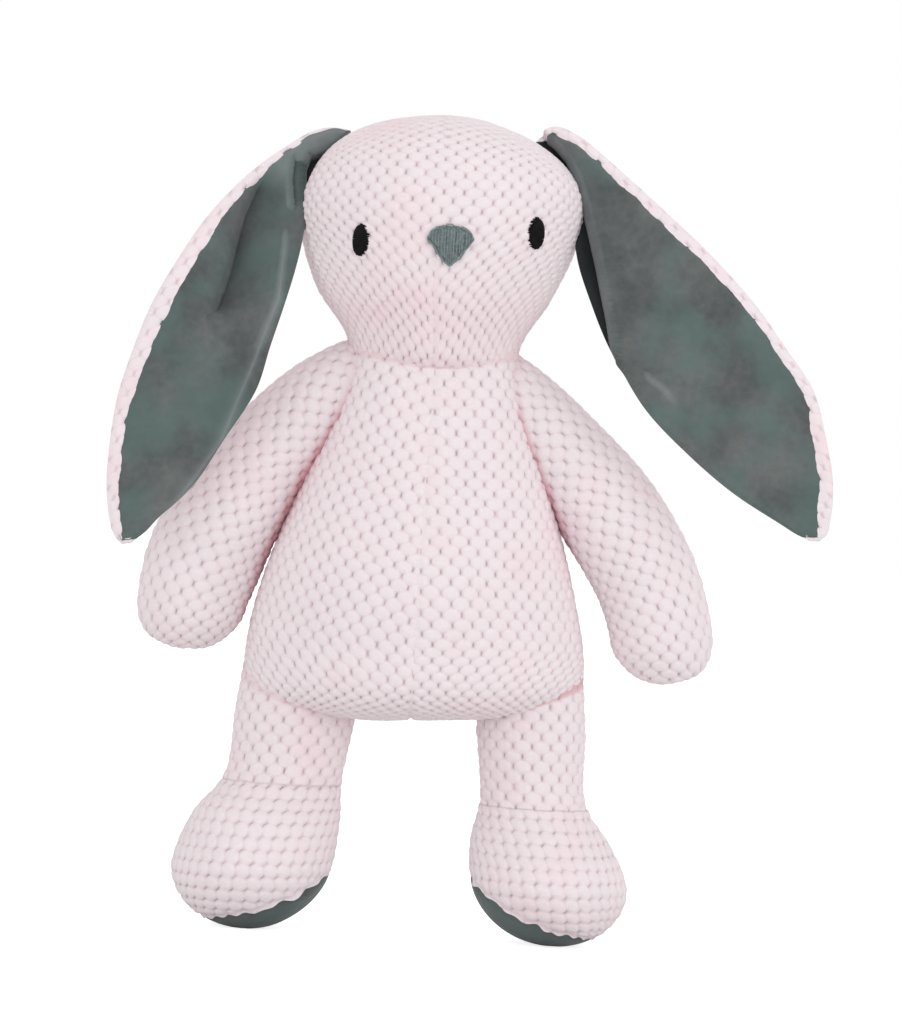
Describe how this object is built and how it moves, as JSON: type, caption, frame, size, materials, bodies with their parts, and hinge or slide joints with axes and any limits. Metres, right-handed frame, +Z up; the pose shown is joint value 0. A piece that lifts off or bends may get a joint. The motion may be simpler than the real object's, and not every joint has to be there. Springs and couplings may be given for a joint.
{
  "type": "stuffed bunny rabbit",
  "caption": "Plush rabbit with a round head, long hanging ears lined in grey velour, a pear-shaped body, soft limbs and embroidered eyes and nose.",
  "frame": {"origin": "on the floor, at the middle of the box round the toy, its hanging ears included", "axes": "+Z up through the head, -Y the way the face looks, +X the toy's own left"},
  "size_m": [0.3058, 0.1065, 0.3513],
  "materials": {
    "plush": "pale pink plush pressed into rows of small puffed cells",
    "velour": "short-pile grey velour with a mottled nap",
    "eye_thread": "black satin-stitch embroidery",
    "nose_thread": "grey satin-stitch embroidery with an outline run",
    "stuffing": "white polyester fibre filling"
  },
  "bodies": {
    "torso": {"torso_front_left": "plush", "torso_front_right": "plush", "torso_back_left": "plush", "torso_back_right": "plush", "torso_stuffing": "stuffing"},
    "head": {"face_left": "plush", "face_right": "plush", "head_back": "plush", "head_stuffing": "stuffing", "eye_left": "eye_thread", "eye_right": "eye_thread", "nose": "nose_thread"},
    "ear_left": {"ear_left_back": "plush", "ear_left_lining": "velour"},
    "arm_left": {"arm_left_front": "plush", "arm_left_back": "plush", "arm_left_stuffing": "stuffing"},
    "leg_left": {"leg_left": "plush", "foot_left_upper": "plush", "foot_left_sole": "velour", "leg_left_stuffing": "stuffing"},
    "ear_right": {"ear_right_back": "plush", "ear_right_lining": "velour"},
    "arm_right": {"arm_right_front": "plush", "arm_right_back": "plush", "arm_right_stuffing": "stuffing"},
    "leg_right": {"leg_right": "plush", "foot_right_upper": "plush", "foot_right_sole": "velour", "leg_right_stuffing": "stuffing"}
  },
  "joints": [
    {"name": "neck_turn", "type": "hinge", "parent": "torso", "child": "head", "pos_m": [-0.01774, 0.0022, 0.256], "axis": [0, 0, 1], "range_deg": [-50, 50], "stiffness_Nm_per_rad": 0.12},
    {"name": "ear_left_raise", "type": "hinge", "parent": "head", "child": "ear_left", "pos_m": [0.02276, 0.0012, 0.347], "axis": [0, -1, 0], "range_deg": [0, 105]},
    {"name": "ear_right_raise", "type": "hinge", "parent": "head", "child": "ear_right", "pos_m": [-0.05824, 0.0012, 0.3435], "axis": [0, 1, 0], "range_deg": [0, 105]},
    {"name": "arm_left_raise", "type": "hinge", "parent": "torso", "child": "arm_left", "pos_m": [0.01926, 0.0022, 0.249], "axis": [0, -1, 0], "range_deg": [0, 75], "stiffness_Nm_per_rad": 0.02},
    {"name": "arm_right_raise", "type": "hinge", "parent": "torso", "child": "arm_right", "pos_m": [-0.05474, 0.0022, 0.249], "axis": [0, 1, 0], "range_deg": [0, 75], "stiffness_Nm_per_rad": 0.02},
    {"name": "hip_left_swing", "type": "hinge", "parent": "torso", "child": "leg_left", "pos_m": [0.03226, 0.0032, 0.07], "axis": [-1, 0, 0], "range_deg": [-30, 75], "stiffness_Nm_per_rad": 0.8},
    {"name": "hip_right_swing", "type": "hinge", "parent": "torso", "child": "leg_right", "pos_m": [-0.06774, 0.0032, 0.07], "axis": [-1, 0, 0], "range_deg": [-30, 75], "stiffness_Nm_per_rad": 0.8}
  ]
}
